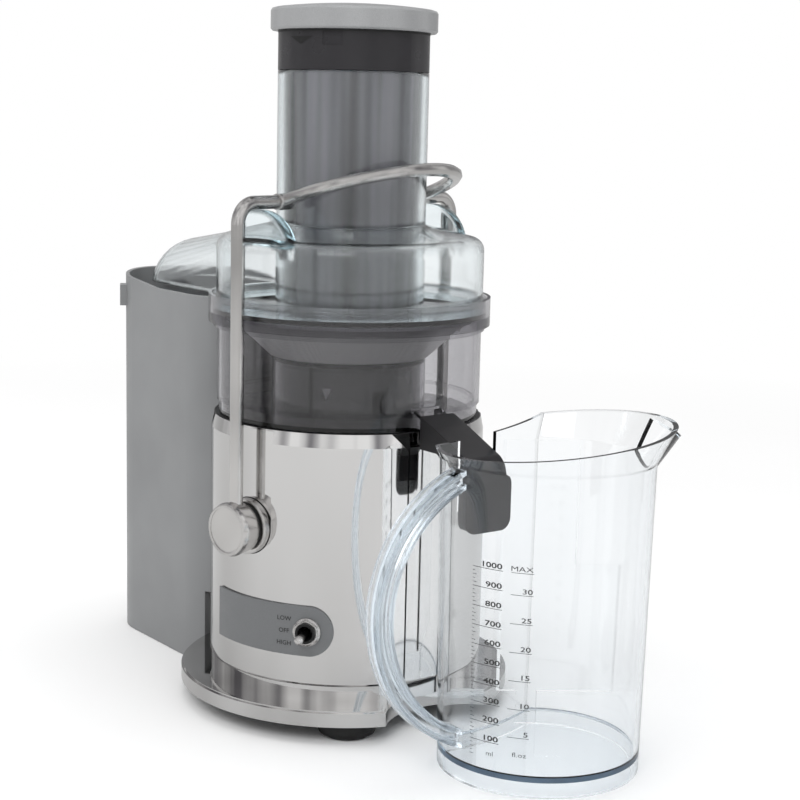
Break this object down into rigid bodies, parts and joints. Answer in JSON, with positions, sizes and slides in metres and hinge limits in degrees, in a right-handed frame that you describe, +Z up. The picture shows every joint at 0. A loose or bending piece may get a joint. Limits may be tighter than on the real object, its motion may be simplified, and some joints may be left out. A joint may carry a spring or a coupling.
{
  "type": "centrifugal juicer",
  "caption": "Tall countertop centrifugal juicer: steel motor base, clear bowl and cover with a wide feed chute, locking arm, pulp bin and juice jug.",
  "frame": {"origin": "on the motor axis, at the level of the worktop the juicer stands on", "axes": "+Z up along the motor axis; -Y is the front, with the switch and one pivot of the locking arm; +X is the side of the spout and the jug, -X the side of the pulp bin"},
  "size_m": [0.4521, 0.2263, 0.4249],
  "materials": {
    "polished_steel": "mirror-polished stainless steel sheet",
    "arm_steel": "polished steel",
    "filter_steel": "satin stainless steel",
    "dark_plastic": "satin charcoal plastic",
    "collar_plastic": "smooth charcoal plastic",
    "smoky_clear": "dark smoky clear plastic, glossy",
    "smoky_bowl": "smoky grey clear plastic, glossy",
    "clear_cover": "clear plastic, glossy",
    "clear_jug": "clear plastic with a faint blue tint, glossy",
    "silver_plastic": "silver-grey painted plastic",
    "grey_plastic": "mid-grey plastic with a fine satin grain",
    "black_rubber": "black rubber",
    "bracket_aluminium": "die-cast, bare",
    "plain_steel": "plain ground steel",
    "copper": "enamelled copper wire and copper bars",
    "holder_brass": "pressed brass",
    "carbon": "graphite",
    "board_green": "solder-masked board"
  },
  "bodies": {
    "base": {"base_tray": "polished_steel", "base_plate": "dark_plastic", "base_screws": "plain_steel", "foot_front_right": "black_rubber", "foot_front_left": "black_rubber", "foot_rear_right": "black_rubber", "foot_rear_left": "black_rubber", "cord_gland": "dark_plastic", "motor_housing": "dark_plastic", "front_panel": "polished_steel", "rear_panel": "polished_steel", "jug_side_panel": "polished_steel", "bin_side_panel": "polished_steel", "top_deck": "dark_plastic", "alignment_arrow": "silver_plastic", "control_plate": "silver_plastic", "switch_body": "dark_plastic", "toggle_nut": "arm_steel", "control_board": "board_green", "interlock_switch": "dark_plastic", "motor_pads": "black_rubber", "lower_bracket": "bracket_aluminium", "lower_bearing": "plain_steel", "motor_stator": "plain_steel", "field_coils": "copper", "upper_bracket": "bracket_aluminium", "upper_bearing": "plain_steel", "bracket_screws": "plain_steel", "brush_holders": "holder_brass", "carbon_brushes": "carbon", "shaft_seal": "black_rubber", "front_pivot": "arm_steel", "rear_pivot": "arm_steel", "front_washer": "black_rubber", "rear_washer": "black_rubber", "bowl": "smoky_bowl", "bowl_seal": "black_rubber", "cover": "clear_cover"},
    "rotor": {"motor_shaft": "plain_steel", "armature": "plain_steel", "commutator": "copper", "cooling_fan": "dark_plastic", "drive_coupling": "dark_plastic", "filter_hub": "dark_plastic", "filter_basket": "filter_steel", "cutting_disc": "filter_steel"},
    "pusher": {"pusher_body": "smoky_clear", "pusher_collar": "collar_plastic", "pusher_cap": "silver_plastic"},
    "arm": {"front_knob": "arm_steel", "rear_knob": "arm_steel", "front_leg": "arm_steel", "rear_leg": "arm_steel", "arm_loop": "arm_steel"},
    "toggle": {"toggle_lever": "arm_steel"},
    "nozzle": {"spout_nozzle": "dark_plastic"},
    "jug": {"jug": "clear_jug", "jug_handle": "clear_jug"},
    "separator": {"froth_separator": "clear_jug"},
    "bin": {"pulp_bin": "grey_plastic"}
  },
  "joints": [
    {"name": "motor_spin", "type": "hinge", "parent": "base", "child": "rotor", "pos_m": [0, 0, 0.12], "axis": [0, 0, 1], "continuous": true},
    {"name": "pusher_lift", "type": "slide", "parent": "base", "child": "pusher", "axis": [0, 0, 1], "range_m": [0, 0.12]},
    {"name": "arm_swing", "type": "hinge", "parent": "base", "child": "arm", "pos_m": [0, 0, 0.12], "axis": [0, 1, 0], "range_deg": [0, 45]},
    {"name": "toggle_tip", "type": "hinge", "parent": "base", "child": "toggle", "pos_m": [0.03913, -0.07206, 0.062], "axis": [0.8788, 0.4772, 0], "range_deg": [-14, 14]},
    {"name": "nozzle_pull", "type": "slide", "parent": "base", "child": "nozzle", "axis": [0.9781, -0.2079, 0], "range_m": [0, 0.01]},
    {"name": "jug_lift", "type": "slide", "parent": "base", "child": "jug", "axis": [0, 0, 1], "range_m": [0, 0.012]},
    {"name": "separator_lift", "type": "slide", "parent": "jug", "child": "separator", "axis": [0, 0, 1], "range_m": [0, 0.1]},
    {"name": "bin_pull", "type": "slide", "parent": "base", "child": "bin", "axis": [-0.9781, 0.2079, 0], "range_m": [0, 0.12]}
  ]
}
